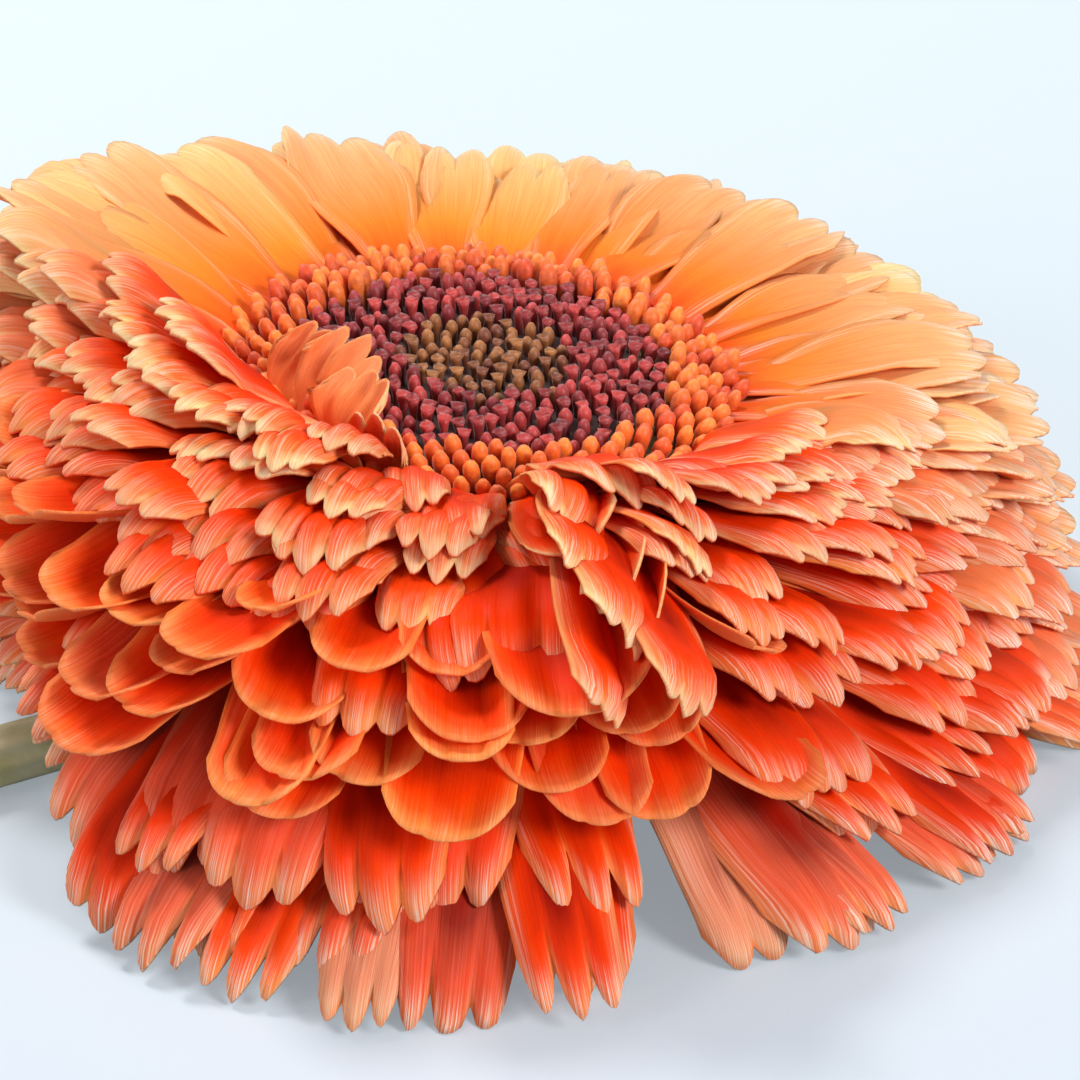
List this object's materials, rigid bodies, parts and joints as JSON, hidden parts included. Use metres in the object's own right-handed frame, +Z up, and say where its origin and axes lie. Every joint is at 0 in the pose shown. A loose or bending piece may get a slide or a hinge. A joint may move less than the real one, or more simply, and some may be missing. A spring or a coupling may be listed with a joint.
{
  "type": "marigold flower",
  "caption": "Double orange marigold head with a dark eye and a short cut stalk, lying face up on its bent-down rays; a natural prop for tables, shelves and trays.",
  "frame": {"origin": "middle of the lowest face of the bounding box, on the surface that the flower lies on", "axes": "+Z up out of the eye of the flower, -Y towards the side where the rays are bent down most, +X to the right as seen from that side; the stalk runs towards -X and slightly -Y"},
  "size_m": [0.085, 0.0804, 0.025],
  "materials": {
    "ray_florets": "satin petal, red-orange with paler tips and fine lengthwise veins",
    "disc_open": "matte brown-green open florets",
    "disc_dark": "matte dark maroon florets",
    "disc_buds": "satin orange buds",
    "receptacle": "matte green flesh",
    "bracts": "downy green",
    "stalk": "ribbed pale yellow-green"
  },
  "bodies": {
    "root": {"flower_stalk": "stalk", "receptacle": "receptacle", "involucre_bracts": "bracts", "disc_florets_open": "disc_open", "disc_florets_dark": "disc_dark", "disc_buds_orange": "disc_buds", "rays_whorl_1_fan_1": "ray_florets", "rays_whorl_1_fan_2": "ray_florets", "rays_whorl_1_fan_3": "ray_florets", "rays_whorl_1_fan_4": "ray_florets", "rays_whorl_1_fan_5": "ray_florets", "rays_whorl_1_fan_6": "ray_florets", "rays_whorl_2_fan_1": "ray_florets", "rays_whorl_2_fan_2": "ray_florets", "rays_whorl_2_fan_3": "ray_florets", "rays_whorl_2_fan_4": "ray_florets", "rays_whorl_2_fan_5": "ray_florets", "rays_whorl_2_fan_6": "ray_florets", "rays_whorl_3_fan_1": "ray_florets", "rays_whorl_3_fan_2": "ray_florets", "rays_whorl_3_fan_3": "ray_florets", "rays_whorl_3_fan_4": "ray_florets", "rays_whorl_3_fan_5": "ray_florets", "rays_whorl_3_fan_6": "ray_florets", "rays_whorl_4_fan_1": "ray_florets", "rays_whorl_4_fan_2": "ray_florets", "rays_whorl_4_fan_3": "ray_florets", "rays_whorl_4_fan_4": "ray_florets", "rays_whorl_4_fan_5": "ray_florets", "rays_whorl_4_fan_6": "ray_florets", "rays_whorl_5_fan_1": "ray_florets", "rays_whorl_5_fan_2": "ray_florets", "rays_whorl_5_fan_3": "ray_florets", "rays_whorl_5_fan_4": "ray_florets", "rays_whorl_5_fan_5": "ray_florets", "rays_whorl_5_fan_6": "ray_florets", "rays_whorl_6_fan_1": "ray_florets", "rays_whorl_6_fan_2": "ray_florets", "rays_whorl_6_fan_3": "ray_florets", "rays_whorl_6_fan_4": "ray_florets", "rays_whorl_6_fan_5": "ray_florets", "rays_whorl_6_fan_6": "ray_florets", "rays_whorl_7_fan_1": "ray_florets", "rays_whorl_7_fan_2": "ray_florets", "rays_whorl_7_fan_3": "ray_florets", "rays_whorl_7_fan_4": "ray_florets", "rays_whorl_7_fan_5": "ray_florets", "rays_whorl_7_fan_6": "ray_florets", "rays_whorl_8_fan_1": "ray_florets", "rays_whorl_8_fan_2": "ray_florets", "rays_whorl_8_fan_3": "ray_florets", "rays_whorl_8_fan_4": "ray_florets", "rays_whorl_8_fan_5": "ray_florets", "rays_whorl_8_fan_6": "ray_florets"}
  },
  "joints": []
}
